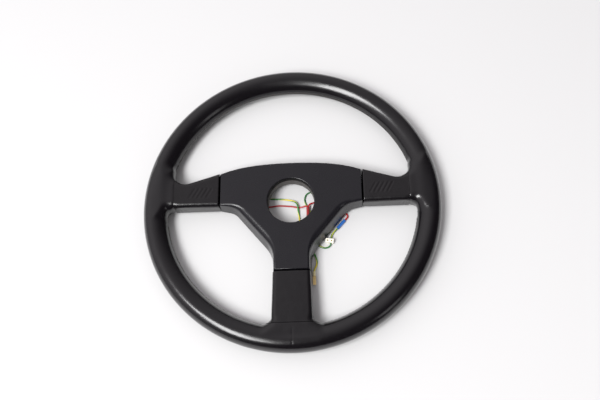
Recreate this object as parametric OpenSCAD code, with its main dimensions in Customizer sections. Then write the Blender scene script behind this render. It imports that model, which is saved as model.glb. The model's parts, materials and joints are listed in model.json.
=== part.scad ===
// Three-spoke steering wheel with a leather rim, padded wings, and a sprung centre pad that sounds the horn.
// It lies on the back of its rim. The origin is on the steering axis at that surface, +Z points to the
// driver, and +Y to the top of the wheel. All sizes are in millimetres.

/* [Rim] */
// Outer diameter of the rim
rim_d = 380; // [360:1:400]
// Diameter of the grip, leather included
grip_d = 30; // [28:0.5:32]
// Thickness of the leather on the rim
leather_t = 1.6; // [1:0.1:2.2]
// Diameter of the metal ring inside the rim
ring_d = 10; // [8:0.5:12]
// Radius of the groove that holds the stitching on the inner side of the rim
stitch_groove_r = 0.9; // [0.4:0.1:1.2]
// Angle below the side spokes at which the upper rim leather ends
leather_joint_angle = 5; // [4:0.5:12]

/* [Hub plate] */
// Height of the back of the hub plate above the surface that the wheel lies on
plate_h = 5; // [5:0.1:6]
// Thickness of the hub plate and its arms
plate_t = 4; // [3:0.5:4.5]
// Radius of the round middle of the hub plate
hub_r = 46; // [44:0.5:48]
// Diameter of the bolt circle
bolt_circle_d = 70; // [70:0.5:74]
// Number of bolt holes
bolt_count = 6; // [6]
// Diameter of a bolt hole
bolt_hole_d = 5.5; // [5:0.1:6.5]
// Diameter of the hole for the centre button
button_hole_d = 59; // [56:0.5:60]
// Width of an arm of the hub plate
arm_w = 20; // [16:0.5:22]
// Distance of the side arms above the steering axis
side_arm_y = 11; // [9:0.5:12]
// Distance beyond the pad's end at which the arms start to rise
arm_step_out = 3.5; // [2.5:0.1:8]
// Length over which the arms rise
arm_step_run = 20; // [14:1:28]

/* [Centre pad] */
// Height of the pad's front face above the surface
face_h = 27; // [26:0.5:30]
// Height of the pad's open edge above the surface
pad_foot_h = 5.5; // [5.2:0.1:7]
// Half the width of the pad, and its reach down the lower spoke
pad_half_w = 90.5; // [89:0.5:91]
// Height of the top edge above the axis, in the middle
pad_top_y = 53; // [51:0.5:56]
// How much lower the top edge is at its two ends
pad_crown = 12.3; // [8:0.1:14]
// Lower edge of the side spokes, from the axis
side_low_y = -4.9; // [-7:0.1:-4.5]
// Half the width of the lower spoke
leg_half_w = 23.8; // [22:0.1:26]
// Wall of the pad
pad_wall = 3; // [2:0.1:3.2]
// Depth of the turned-in lip round the hole of the pad
lip_depth = 7; // [5:0.5:7.5]
// Clearance between the pad's hole and the button's hole, on the radius
lip_clear = 0.3; // [0.2:0.1:0.8]
// Gap between the pad and the wings
seam_gap = 1.6; // [1:0.1:2.4]
// Travel of the pad when the horn is pressed
travel = 1.2; // [0.8:0.1:1.2]

/* [Wings] */
// Height of the wings' back above the surface
wing_back_h = 4; // [3:0.1:4.4]
// Roll of the padded edges
edge_roll = 4; // [3:0.5:5]
// Distance of the leather seam on a wing from the inner edge of the rim
wing_seam_in = 10.5; // [9.5:0.5:12]
// Depth of the leather seams
seam_depth = 0.8; // [0.4:0.1:1.2]
// Number of thumb grooves in each side wing
thumb_groove_count = 5; // [3:1:6]
// Length of a thumb groove
thumb_groove_len = 14; // [8:1:16]

/* [Pad mechanism] */
// Thickness of the steel plate under the pad
pad_plate_t = 1.5; // [1.2:0.1:2]
// Distance of the guide screws from the ends of the pad's arms
guide_in = 24.5; // [22:0.5:27]
// Diameter of a guide screw's shoulder
shoulder_d = 5; // [4:0.1:6]
// Running clearance of the shoulder, on the radius
shoulder_clear = 0.1; // [0.05:0.01:0.1]
// Wire diameter of the return springs
spring_wire_d = 0.8; // [0.6:0.1:1]
// Mean diameter of the return springs
spring_d = 8.8; // [8.4:0.1:9.6]
// Turns of a return spring
spring_turns = 4.5; // [3.5:0.5:5.5]
// Distance of the horn contacts from the pad's ends
contact_in = 11.5; // [10.5:0.5:13]
// Distance of the earth screws from the pad's ends
earth_in = 35.5; // [34:0.5:37]
// Air left between the horn contacts at the end of the travel
contact_air = 0.1; // [0.1:0.05:0.3]
// Diameter of the pad screws
pad_screw_d = 3; // [2.5:0.1:3.5]
// Height of the sleeve that holds the centre button, above the back of the hub plate
button_sleeve_h = 13; // [10:0.5:13]

/* [Leads] */
// Diameter of a lead
lead_d = 2; // [1.6:0.1:2.2]
// Length of the white connector
connector_l = 10; // [8:0.5:12]
// Width of the white connector
connector_w = 5; // [4:0.5:6]
// Height of the white connector
connector_h = 6; // [5:0.5:7]
// Diameter of the blue sleeve
blue_sleeve_d = 4; // [3.4:0.1:4.4]
// Width of the brass spade terminal
spade_w = 4; // [3:0.1:4.2]

/* [Hidden] */
smooth = 96;
small_round = 32;

grip_r = grip_d / 2;
rim_r = (rim_d - grip_d) / 2;
rim_in = rim_r - grip_r;
rim_h = grip_r;
foam_r = grip_r - leather_t;

plate_top = plate_h + plate_t;
button_r = button_hole_d / 2;
arm_outer_h = rim_h - plate_t / 2;
arm_step_r = pad_half_w + arm_step_out;
arm_root = 8;
wing_start = pad_half_w + seam_gap;
pad_corner_y = pad_top_y - pad_crown;

guide_x = pad_half_w - guide_in;
contact_x = pad_half_w - contact_in;
earth_x = pad_half_w - earth_in;
guide_spots = [[-guide_x, side_arm_y], [guide_x, side_arm_y], [0, -guide_x]];
guide_lift = 0.05;
guide_head_h = 1.8;
guide_head_r = 4.25;
guide_thread_r = 2;
thread_clear = 0.05;
under_face_h = face_h - pad_wall;
head_clear = 0.95;
pad_plate_top = under_face_h - travel - guide_head_h - guide_lift - head_clear;
pad_plate_h = pad_plate_top - pad_plate_t;

contact_spots = [[-contact_x, side_arm_y], [contact_x, side_arm_y]];
earth_spots = [[-earth_x, side_arm_y], [earth_x, side_arm_y]];
insulator_r = 6.5;
insulator_t = 3;
insulator_back_t = 0.8;
collar_r = 4;
collar_clear = 0.05;
rivet_r = 1.5;
rivet_head_r = 3.5;
rivet_head_h = 1.4;
contact_top = plate_top + insulator_t + rivet_head_h;
tag_t = 0.8;
tag_r = 4;
barrel_r = 1.4;
barrel_l = 5;
earth_screw_r = 2;
earth_head_r = 3.5;
earth_head_h = 2;

pad_screw_in = 14.5;
pad_screw_step = 16;
pad_screw_top_in = 14.3;
pad_screw_rise = 5;
leg_screw_in = 9.5;
pad_screw_spots = [
    for (s = [-1, 1])
        each [
            [s * (pad_half_w - pad_screw_in - pad_screw_step),
             pad_corner_y - pad_screw_top_in + pad_screw_rise],
            [s * (pad_half_w - pad_screw_in), pad_corner_y - pad_screw_top_in],
            [s * leg_half_w / 2, leg_screw_in - pad_half_w]
        ]
];
boss_r = 3.5;
pad_screw_head_r = 3;
pad_screw_head_h = 2;
pad_screw_reach = 4.5;

ring_flange_t = 2;
ring_wall = 1.2;
ring_spigot = 2;
spigot_clear = 0.05;
ring_screw_circle_r = 41;
ring_screw_r = 1.5;
ring_screw_head_r = 2.75;
ring_screw_head_h = 1.5;

// Helpers for outlines and swept shapes
function unit(v) = v / norm(v);
function mix(a, b, t) = a + (b - a) * t;
function flat(p) = [p.x, p.y];

// The arc of n steps that rounds the corner b between a and c
function corner(a, b, c, r, n) =
    r <= 0 ? [b] :
    let (
        u = unit(a - b),
        v = unit(c - b),
        half = acos(u * v) / 2,
        mid = b + unit(u + v) * r / sin(half),
        s = b + u * r / tan(half) - mid,
        turn = cross(b - a, c - b) > 0 ? 1 : -1,
        first = atan2(s.y, s.x)
    )
    [for (i = [0 : n]) let (w = first + turn * (180 - 2 * half) * i / n) mid + r * [cos(w), sin(w)]];

// A closed outline from corners given as [x, y, radius]
function rounded(p, n) =
    let (m = len(p))
    [for (i = [0 : m - 1])
        each corner(flat(p[(i + m - 1) % m]), flat(p[i]), flat(p[(i + 1) % m]), p[i][2], n)];

// A closed outline, counter-clockwise, moved inwards by d
function inset(p, d) =
    let (m = len(p))
    [for (i = [0 : m - 1])
        let (
            e = unit(p[i] - p[(i + m - 1) % m]),
            f = unit(p[(i + 1) % m] - p[i]),
            n1 = [e.y, -e.x],
            n2 = [f.y, -f.x]
        )
        p[i] - d * (n1 + n2) / (1 + n1 * n2)];

// A solid skinned over layers, each a list of as many points, from the lowest to the highest.
// Its two ends are strips between the points that lie opposite each other, the first and last points first.
function end_strips(n) =
    [for (i = [0 : floor((n - 1) / 2) - 1])
        each i + 1 < n - 2 - i ?
            [[i, i + 1, n - 1 - i], [i + 1, n - 2 - i, n - 1 - i]] : [[i, i + 1, n - 1 - i]]];
module loft(layers) {
    n = len(layers[0]);
    m = len(layers);
    sides = [for (k = [0 : m - 2], i = [0 : n - 1])
        let (a = k * n + i, b = k * n + (i + 1) % n)
        each [[a, a + n, b + n], [a, b + n, b]]];
    foot = end_strips(n);
    head = [for (f = foot) (m - 1) * n * [1, 1, 1] + [f[2], f[1], f[0]]];
    polyhedron(points = [for (layer = layers) each layer], faces = concat(sides, foot, head));
}

// A round tube along points, with n sides
function ring_at(p, t, r, n) =
    let (s = unit(cross(t, [0, 0, 1])), u = cross(t, s))
    [for (i = [0 : n - 1]) p + r * (cos(360 * i / n) * s + sin(360 * i / n) * u)];
module tube(p, r, n) {
    m = len(p);
    steps = [for (i = [0 : m - 2]) unit(p[i + 1] - p[i])];
    ways = [for (i = [0 : m - 1]) unit(steps[max(i - 1, 0)] + steps[min(i, m - 2)])];
    loft([for (i = [0 : m - 1]) ring_at(p[i], ways[i], r, n)]);
}

module at(spots) {
    for (p = spots) translate([p.x, p.y, 0]) children();
}
module disc(r, from, to) {
    translate([0, 0, from]) cylinder(r = r, h = to - from, $fn = smooth);
}
module small_disc(r, from, to) {
    translate([0, 0, from]) cylinder(r = r, h = to - from, $fn = small_round);
}
module torus(r) {
    translate([0, 0, rim_h]) rotate_extrude($fn = smooth) translate([rim_r, 0]) circle(r = r, $fn = smooth);
}

// The hub plate's arms, which rise inside the wings and end on the metal ring
module arm_bar(grow = 0) {
    low = plate_h - grow;
    high = plate_top + grow;
    rise = arm_outer_h - plate_h;
    slope_shift = plate_t * tan(atan(rise / arm_step_run) / 2);
    rotate([90, 0, 0])
        linear_extrude(arm_w + 2 * grow, center = true)
        polygon([
            [button_r + arm_root, low],
            [arm_step_r, low],
            [arm_step_r + arm_step_run, low + rise],
            [rim_r, low + rise],
            [rim_r, high + rise],
            [arm_step_r + arm_step_run - slope_shift, high + rise],
            [arm_step_r - slope_shift, high],
            [button_r + arm_root, high]
        ]);
}
module side_arm(side) {
    mirror([side < 0 ? 1 : 0, 0, 0]) translate([0, side_arm_y, 0]) arm_bar();
}
module low_arm() {
    rotate([0, 0, -90]) arm_bar();
}
module all_arms() {
    side_arm(-1);
    side_arm(1);
    low_arm();
}

// Rim
module rim_ring() {
    color("dimgray") torus(ring_d / 2);
}
module rim_foam() {
    color([0.16, 0.16, 0.16])
        difference() {
            torus(foam_r);
            torus(ring_d / 2);
            all_arms();
        }
}
module leather_panel(from, to) {
    color([0.13, 0.13, 0.14])
        difference() {
            translate([0, 0, rim_h])
                rotate([0, 0, from])
                rotate_extrude(angle = to - from, $fn = smooth)
                translate([rim_r, 0])
                difference() {
                    circle(r = grip_r, $fn = smooth);
                    circle(r = foam_r, $fn = smooth);
                    translate([-grip_r, 0]) circle(r = stitch_groove_r, $fn = small_round);
                }
            all_arms();
        }
}
module rim_leather_top() {
    leather_panel(-leather_joint_angle, 180 + leather_joint_angle);
}
module rim_leather_left() {
    leather_panel(180 + leather_joint_angle, 270);
}
module rim_leather_right() {
    leather_panel(-90, -leather_joint_angle);
}

// Hub plate
bolt_spots = [for (i = [0 : bolt_count - 1])
    let (w = 30 + i * 360 / bolt_count) bolt_circle_d / 2 * [cos(w), sin(w)]];
ring_screw_spots = [for (w = [0, 120, 240]) ring_screw_circle_r * [cos(w), sin(w)]];
module hub_plate() {
    color([0.1, 0.1, 0.11])
        difference() {
            union() {
                disc(hub_r, plate_h, plate_top);
                all_arms();
            }
            disc(button_r + ring_wall + spigot_clear, 0, face_h);
            at(bolt_spots) small_disc(bolt_hole_d / 2, 0, face_h);
            at(ring_screw_spots) small_disc(ring_screw_r + thread_clear, 0, face_h);
            at(guide_spots) small_disc(guide_thread_r + thread_clear, 0, face_h);
            at(contact_spots) small_disc(collar_r, 0, face_h);
            at(earth_spots) small_disc(earth_screw_r + thread_clear, 0, face_h);
            torus(ring_d / 2);
        }
}

// Ring that seats the centre button
module button_ring() {
    color("rosybrown")
        difference() {
            union() {
                disc(hub_r - 1, plate_top, plate_top + ring_flange_t);
                disc(button_r + ring_wall, plate_top - ring_spigot, plate_h + button_sleeve_h);
            }
            disc(button_r, 0, face_h);
            at(bolt_spots) small_disc(bolt_hole_d / 2, 0, face_h);
            at(ring_screw_spots) small_disc(ring_screw_r + thread_clear, 0, face_h);
        }
}
module screw(r, head_r, tip, seat, head_h) {
    difference() {
        union() {
            small_disc(r, tip, seat);
            small_disc(head_r, seat, seat + head_h);
        }
        translate([0, 0, seat + head_h / 2]) cylinder(r = head_r * 0.45, h = head_h, $fn = 6);
    }
}
module ring_screws() {
    color("silver")
        at(ring_screw_spots)
        screw(ring_screw_r, ring_screw_head_r, plate_h, plate_top + ring_flange_t, ring_screw_head_h);
}

// Centre pad: the open edge and the face are two outlines, and rolled walls join them
throat_steps = 8;
crown_steps = 16;
crown_even = 0.55;
shoulder_x = pad_half_w - 17.5;
shoulder_y = side_low_y - 3.7;
hip_y = 24.1 - pad_half_w;
// The top edge, nearly flat in the middle and falling faster towards its ends
function crown(half, top, end_y) =
    [for (i = [0 : crown_steps])
        let (t = 1 - 2 * i / crown_steps, fall = crown_even * t * t + (1 - crown_even) * pow(t, 4))
        [half * t, top - (top - end_y) * fall]];
function throat(leg, foot_y, hip, shoulder, side_x, side_y) =
    concat(
        [[leg, foot_y]],
        corner([leg, foot_y], flat(hip), flat(shoulder), hip[2], throat_steps),
        corner(flat(hip), flat(shoulder), [side_x, side_y], shoulder[2], throat_steps),
        [[side_x, side_y]]
    );
function mirrored(p) = [for (i = [len(p) - 1 : -1 : 0]) [-p[i].x, p[i].y]];
function pad_outline(leg, foot_y, hip, shoulder, side_x, side_y, top, end_y) =
    let (right = throat(leg, foot_y, hip, shoulder, side_x, side_y))
    concat(right, crown(side_x, top, end_y), mirrored(right));

end_roll = 1.2;
leg_roll = 4.6;
side_roll = 3.6;
top_roll = 3.9;
pad_edge = pad_outline(
    leg_half_w, -pad_half_w, [leg_half_w + 0.8, hip_y, 35], [shoulder_x, shoulder_y, 20],
    pad_half_w, side_low_y, pad_top_y, pad_corner_y
);
pad_face = pad_outline(
    leg_half_w - leg_roll, -pad_half_w + end_roll, [leg_half_w - 3.8, hip_y + 13.9, 50],
    [shoulder_x - 8.8, shoulder_y + 7, 30],
    pad_half_w - end_roll, side_low_y + side_roll, pad_top_y - top_roll, pad_corner_y - top_roll
);
wall_share = 0.3;
roll_angles = [0 : 18 : 90];
function roll_height(a, b) = min(7.5, max(2, 0.62 * norm(b - a)));
function pad_layers(edge, face, foot, top) =
    let (rise = [for (i = [0 : len(edge) - 1]) roll_height(pad_edge[i], pad_face[i])])
    concat(
        [[for (p = edge) [p.x, p.y, foot]]],
        [for (w = roll_angles)
            [for (i = [0 : len(edge) - 1])
                let (p = mix(edge[i], face[i], wall_share + (1 - wall_share) * (1 - cos(w))))
                [p.x, p.y, top - rise[i] * (1 - sin(w))]]]
    );
lip_r = button_r + lip_clear;
lip_round = 1.2;
notch_clear = 1.5;
notch_head = 0.6;
module lip_rounding() {
    rotate_extrude($fn = smooth)
        difference() {
            translate([lip_r - 1, face_h - lip_round]) square([1 + lip_round, lip_round + 1]);
            translate([lip_r + lip_round, face_h - lip_round]) circle(r = lip_round, $fn = small_round);
        }
}
module arm_notch() {
    depth = plate_top + travel + notch_head;
    translate([pad_half_w - 2 * pad_wall, -arm_w / 2 - notch_clear, 0])
        cube([4 * pad_wall, arm_w + 2 * notch_clear, depth]);
}
module centre_pad() {
    color([0.2, 0.2, 0.22])
        difference() {
            union() {
                difference() {
                    loft(pad_layers(pad_edge, pad_face, pad_foot_h, face_h));
                    loft(pad_layers(
                        inset(pad_edge, pad_wall), inset(pad_face, pad_wall / 2),
                        pad_foot_h - 1, under_face_h
                    ));
                }
                disc(lip_r + pad_wall, face_h - lip_depth, face_h - pad_wall / 2);
                at(pad_screw_spots) small_disc(boss_r, pad_plate_top, face_h - pad_wall / 2);
            }
            disc(lip_r, 0, face_h + 1);
            lip_rounding();
            at(pad_screw_spots)
                small_disc(pad_screw_d / 2 + thread_clear, 0, pad_plate_h + pad_screw_reach + screw_end_room);
            translate([0, side_arm_y, 0]) arm_notch();
            mirror([1, 0, 0]) translate([0, side_arm_y, 0]) arm_notch();
            rotate([0, 0, -90]) arm_notch();
        }
}
pad_plate_in = 3;
lip_to_plate = 3;
screw_end_room = 0.5;
module pad_plate() {
    color("slategray")
        difference() {
            translate([0, 0, pad_plate_h])
                linear_extrude(pad_plate_t) polygon(inset(pad_face, pad_plate_in));
            disc(lip_r + pad_wall + lip_to_plate, 0, face_h);
            at(guide_spots) small_disc(shoulder_d / 2 + shoulder_clear, 0, face_h);
            at(pad_screw_spots) small_disc(pad_screw_d / 2 + thread_clear, 0, face_h);
        }
}
module pad_screws() {
    color("silver")
        at(pad_screw_spots)
        translate([0, 0, pad_plate_h])
        mirror([0, 0, 1])
        screw(pad_screw_d / 2, pad_screw_head_r, -pad_screw_reach, 0, pad_screw_head_h);
}
module guide_screws() {
    head_h = pad_plate_top + guide_lift;
    color("silver")
        at(guide_spots)
        difference() {
            union() {
                small_disc(guide_thread_r, plate_h, plate_top);
                small_disc(shoulder_d / 2, plate_top, head_h);
                small_disc(guide_head_r, head_h, head_h + guide_head_h);
            }
            translate([0, 0, head_h + guide_head_h / 2])
                cylinder(r = 1.8, h = guide_head_h, $fn = 6);
        }
}

// Return springs
spring_steps = 12;
spring_sides = 6;
spring_end_gap = 0.05;
function helix(r, turns, from, to) =
    [for (i = [0 : turns * spring_steps])
        let (w = 360 * i / spring_steps)
        [r * cos(w), r * sin(w), from + (to - from) * i / (turns * spring_steps)]];
module spring(spot) {
    color("gainsboro")
        translate([spot.x, spot.y, 0])
        tube(helix(spring_d / 2, spring_turns, plate_top + spring_wire_d / 2 + spring_end_gap,
                   pad_plate_h - spring_wire_d / 2 - spring_end_gap), spring_wire_d / 2, spring_sides);
}
module spring_left() {
    spring(guide_spots[0]);
}
module spring_right() {
    spring(guide_spots[1]);
}
module spring_bottom() {
    spring(guide_spots[2]);
}

// Horn contacts
module insulator(spot) {
    color("saddlebrown")
        translate([spot.x, spot.y, 0])
        difference() {
            union() {
                small_disc(insulator_r, plate_top, plate_top + insulator_t);
                small_disc(collar_r - collar_clear, plate_h, plate_top);
                small_disc(insulator_r - 1, plate_h - insulator_back_t, plate_h);
            }
            small_disc(rivet_r + thread_clear, 0, face_h);
        }
}
module insulator_left() {
    insulator(contact_spots[0]);
}
module insulator_right() {
    insulator(contact_spots[1]);
}
// A crimped wire barrel that starts at the tag's edge and points towards the axis
module barrel(side, top) {
    translate([-side * (tag_r - 1), 0, top - barrel_r])
        rotate([0, -side * 90, 0])
        cylinder(r = barrel_r, h = barrel_l, $fn = small_round);
}
module contact(side) {
    spot = contact_spots[side < 0 ? 0 : 1];
    tag_top = plate_h - insulator_back_t;
    color("goldenrod")
        translate([spot.x, spot.y, 0]) {
            small_disc(rivet_r, tag_top - tag_t, contact_top - rivet_head_h);
            small_disc(rivet_head_r, contact_top - rivet_head_h, contact_top);
            small_disc(tag_r - 0.5, tag_top - tag_t, tag_top);
            barrel(side, tag_top - tag_t / 2);
        }
}
module contact_left() {
    contact(-1);
}
module contact_right() {
    contact(1);
}
pad_contact_r = 2.6;
pad_contact_tip_r = 1.6;
pad_contact_tip_h = 0.8;
module pad_contact(spot) {
    tip = contact_top + travel + contact_air;
    color("goldenrod")
        translate([spot.x, spot.y, 0])
        rotate_extrude($fn = small_round)
        polygon([
            [0, tip],
            [pad_contact_tip_r, tip],
            [pad_contact_r, tip + pad_contact_tip_h],
            [pad_contact_r, pad_plate_h],
            [0, pad_plate_h]
        ]);
}
module pad_contact_left() {
    pad_contact(contact_spots[0]);
}
module pad_contact_right() {
    pad_contact(contact_spots[1]);
}
module earth_tag(side) {
    spot = earth_spots[side < 0 ? 0 : 1];
    color("goldenrod")
        translate([spot.x, spot.y, 0])
        difference() {
            union() {
                small_disc(tag_r, plate_h - tag_t, plate_h);
                barrel(side, plate_h - tag_t / 2);
            }
            small_disc(earth_screw_r + thread_clear, 0, face_h);
            small_disc(earth_head_r + 0.2, 0, plate_h - tag_t);
        }
}
module earth_tag_left() {
    earth_tag(-1);
}
module earth_tag_right() {
    earth_tag(1);
}
module earth_screws() {
    color("silver")
        at(earth_spots)
        translate([0, 0, plate_h - tag_t])
        mirror([0, 0, 1])
        screw(earth_screw_r, earth_head_r, -plate_t - tag_t, 0, earth_head_h);
}

// Wings: padded and covered with leather, from the pad's edge to the rim
wing_steps = 6;
wing_sink = 8;
low_corner_in = 3;
low_corner_r = 8;
low_flare = [2, 8];
low_sink = 12;
neck = [9, 19.2];
neck_r = 16;
top_flare = [8, 5];
top_sink = 12.9;
function side_wing(d, end) =
    rounded([
        [wing_start + end, side_low_y + d, 0],
        [rim_in - low_corner_in + d, side_low_y + d, low_corner_r + d],
        [rim_in + low_flare.x + d, side_low_y - low_flare.y, 0],
        [rim_in + wing_sink, side_low_y - low_sink, 0],
        [rim_in + wing_sink, pad_corner_y + top_sink, 0],
        [rim_in - top_flare.x + d, pad_corner_y + top_flare.y, 0],
        [rim_in - neck.x + d, pad_corner_y - neck.y - 1.3 * d, neck_r + d],
        [wing_start + end, pad_corner_y - d, 0]
    ], wing_steps);
leg_widen = [-0.5, 1.2, 10, 16];
foot_rise = [9, 2.5];
foot_sink = 7;
foot_r = 3;
function low_wing(d, end) =
    rounded([
        [-leg_half_w - leg_widen[0] + d, -wing_start - end, 0],
        [-leg_half_w - leg_widen[1] + d, -rim_in + foot_rise.x - 0.5 * d, foot_r + d],
        [-leg_half_w - leg_widen[2], -rim_in + foot_rise.y - 0.5 * d, 0],
        [-leg_half_w - leg_widen[3], -rim_in - foot_sink, 0],
        [leg_half_w + leg_widen[3], -rim_in - foot_sink, 0],
        [leg_half_w + leg_widen[2], -rim_in + foot_rise.y - 0.5 * d, 0],
        [leg_half_w + leg_widen[1] - d, -rim_in + foot_rise.x - 0.5 * d, foot_r + d],
        [leg_half_w + leg_widen[0] - d, -wing_start - end, 0]
    ], wing_steps);
wing_layer_shares = concat(
    [for (w = [0 : 30 : 60]) [0.85 * (1 - sin(w)), wing_back_h + 0.85 * edge_roll * (1 - cos(w))]],
    [for (w = roll_angles) [1 - cos(w), face_h - edge_roll * (1 - sin(w))]]
);
function wing_layers(edge, face) =
    [for (s = wing_layer_shares)
        [for (i = [0 : len(edge) - 1]) let (p = mix(edge[i], face[i], s[0])) [p.x, p.y, s[1]]]];
seam_w = 0.8;
seam_l = 90;
low_seam_in = 4.5;
module seam_cut() {
    translate([-seam_w / 2, -seam_l / 2, face_h - seam_depth]) cube([seam_w, seam_l, seam_depth + 1]);
}
thumb_groove_step = 5.5;
thumb_groove_w = 1.6;
thumb_groove_depth = 0.5;
thumb_groove_turn = 60;
thumb_groove_in = 23;
thumb_groove_up = 2;
module thumb_grooves(turn) {
    for (i = [0 : thumb_groove_count - 1])
        translate([(i - (thumb_groove_count - 1) / 2) * thumb_groove_step, 0, face_h - thumb_groove_depth])
        rotate([0, 0, turn])
        linear_extrude(2 * thumb_groove_depth) {
            square([thumb_groove_len, thumb_groove_w], center = true);
            for (s = [-1, 1])
                translate([s * thumb_groove_len / 2, 0]) circle(r = thumb_groove_w / 2, $fn = small_round);
        }
}
// The grip's surface between two angles, in flats that lie just outside it
seat_sides = 40;
seat_step = 3;
module grip_seat(from, to) {
    tube([for (w = [from : seat_step : to]) [rim_r * cos(w), rim_r * sin(w), rim_h]],
         grip_r / cos(180 / seat_sides), seat_sides);
}
module side_cover(groove_turn) {
    color([0.15, 0.15, 0.16])
        difference() {
            loft(wing_layers(side_wing(0, 0), side_wing(edge_roll, 1)));
            grip_seat(-15, 27);
            side_arm(1);
            translate([rim_in - wing_seam_in, 0, 0]) seam_cut();
            translate([wing_start + thumb_groove_in, side_arm_y + thumb_groove_up, 0]) thumb_grooves(groove_turn);
        }
}
// The grooves lean the same way on both sides
module wing_right() {
    side_cover(thumb_groove_turn);
}
module wing_left() {
    mirror([1, 0, 0]) side_cover(-thumb_groove_turn);
}
module wing_bottom() {
    color([0.15, 0.15, 0.16])
        difference() {
            loft(wing_layers(low_wing(0, 0), low_wing(edge_roll, 1)));
            grip_seat(-111, -69);
            low_arm();
            translate([0, low_seam_in - rim_in, 0]) rotate([0, 0, 90]) seam_cut();
        }
}

// Leads: their routes lie on the surface, under the hub plate and across its hole
route_left_green = [
    [-48, 11, 3.2], [-43, 11.5, 2.6], [-37, 12, 1.4], [-30, 12, 1.1], [-22, 11.5, 1.1], [-14, 11, 1.1],
    [-5, 9.5, 1.6], [1.5, 7.5, 2.6], [6, 4, 3.4], [7.5, -1, 3.4], [8, -6, 2.6], [9, -13, 1.4],
    [9.5, -20, 1.1], [11, -30, 1.1], [14.5, -41, 1.1], [19, -50, 1.1], [24, -58.5, 1.1],
    [28, -66, 1.1], [30.5, -73, 1.1], [30, -79, 1.2], [27.5, -84.5, 1.6], [26.5, -88, 1.8]
];
route_left_red = [
    [-71.5, 11, 2.4], [-67.5, 10.5, 1.8], [-63, 7.5, 1.1], [-58, 4, 1.1], [-51, 1.5, 1.1], [-43, 0.5, 1.1],
    [-35, 0.5, 1.1], [-27, 1, 1.1], [-18, 2, 1.1], [-9, 1.5, 1.1], [0, 0.5, 1.1], [7, -1, 1.1],
    [12, -1, 1.5], [16, -0.5, 2.7], [19, -0.5, 3.9], [19.7, -2.5, 4.3]
];
route_right_red = [
    [71.5, 11, 2.4], [67.5, 10.5, 1.8], [63, 8, 1.1], [58, 5, 1.1], [51.5, 3.5, 1.1], [45, 3.5, 1.1],
    [38, 4.5, 1.1], [32, 5, 1.2], [27, 4, 2.4], [24, 2.5, 3.6], [22, 0.5, 4.2], [21.7, -2.5, 4.3]
];
route_right_green = [
    [48, 11, 3.2], [44, 12.5, 2.8], [39.5, 15.5, 2], [34.5, 18, 1.3], [29, 19.5, 1.1], [24, 19.2, 1.1],
    [19.5, 17, 1.1], [17, 12.5, 1.1], [16.8, 7.5, 1.1], [18.5, 2, 1.1], [22, -4, 1.1], [25.5, -11, 1.1],
    [27.5, -19, 1.1], [28, -28, 1.1], [28, -37, 1.1], [28.5, -45, 1.1], [31, -51, 1.1],
    [35.5, -55, 1.1], [40.5, -57, 1.1], [45.5, -56.2, 1.4], [48.3, -53.5, 2.3], [48.2, -50.5, 3]
];
route_feed_red = [
    [20.6, -14, 4.3], [21, -17.5, 4.1], [23, -20.5, 3.7], [26.5, -22.5, 3.5], [31, -23, 3.2],
    [35.5, -21.5, 2.2], [40.5, -19, 1.2], [46, -16, 1.1], [52, -13, 1.1], [58, -10.5, 1.1],
    [64, -9.5, 1.1], [69, -11.5, 1.2], [71.3, -15.5, 1.6], [69.5, -19, 2], [67, -21.2, 2.1]
];
route_jumper_green = [
    [58, -31.5, 2.1], [54.5, -35, 2.1], [51.5, -38.5, 2.2], [49.7, -42, 2.7], [49, -46.5, 3]
];
module lead(route, tint) {
    color(tint) tube(route, lead_d / 2, 8);
}
module lead_left_green() {
    lead(route_left_green, "yellowgreen");
}
module lead_left_red() {
    lead(route_left_red, "red");
}
module lead_right_red() {
    lead(route_right_red, "red");
}
module lead_right_green() {
    lead(route_right_green, "green");
}
module lead_feed_red() {
    lead(route_feed_red, "red");
}
module lead_jumper_green() {
    lead(route_jumper_green, "green");
}

// A piece that lies between two points of the routes, built along +X and turned to lie between them
module between(a, b) {
    d = b - a;
    translate(a) rotate([0, -atan2(d.z, norm(flat(d))), atan2(d.y, d.x)]) children();
}
sleeve_clear = 0.05;
splice_from = [20.7, -2.2, 4.3];
splice_to = [20.6, -14.2, 4.3];
module splice_sleeve() {
    color("firebrick")
        between(splice_from, splice_to)
        rotate([0, 90, 0])
        cylinder(r = lead_d + sleeve_clear, h = norm(splice_to - splice_from), $fn = small_round);
}
connector_spot = [47.2, -48.6];
connector_turn = -8;
rest_gap = 0.1;
socket_r = 1.1;
socket_pin_r = 0.8;
socket_pin_in = 0.6;
module connector_housing() {
    color("ivory")
        translate([connector_spot.x, connector_spot.y, rest_gap])
        rotate([0, 0, connector_turn])
        difference() {
            translate([-connector_l / 2, -connector_w / 2, 0]) cube([connector_l, connector_w, connector_h]);
            for (s = [-1, 1])
                translate([s * connector_l / 4, 0, connector_h / 2])
                cylinder(r = socket_r, h = connector_h, $fn = small_round);
        }
}
module connector_contacts() {
    color("goldenrod")
        translate([connector_spot.x, connector_spot.y, rest_gap])
        rotate([0, 0, connector_turn])
        for (s = [-1, 1])
            translate([s * connector_l / 4, 0, connector_h / 2])
            small_disc(socket_pin_r, 0, connector_h / 2 - socket_pin_in);
}
blue_from = [67.3, -21, 2.1];
blue_to = [57.7, -31.8, 2.1];
module blue_sleeve() {
    color("royalblue")
        between(blue_from, blue_to)
        rotate([0, 90, 0])
        cylinder(r = blue_sleeve_d / 2, h = norm(blue_to - blue_from), $fn = small_round);
}
spade_from = [26.6, -87.5, 1.8];
spade_to = [26.9, -104.5, 1.8];
spade_t = 0.8;
spade_l = 11;
spade_barrel_l = 6.2;
spade_sleeve_wall = 0.4;
module spade_terminal() {
    color("goldenrod")
        between(spade_from, spade_to) {
            rotate([0, 90, 0]) cylinder(r = barrel_r, h = spade_barrel_l, $fn = small_round);
            translate([spade_barrel_l - 0.2, -spade_w / 2, -spade_t / 2]) cube([spade_l, spade_w, spade_t]);
        }
}
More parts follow.
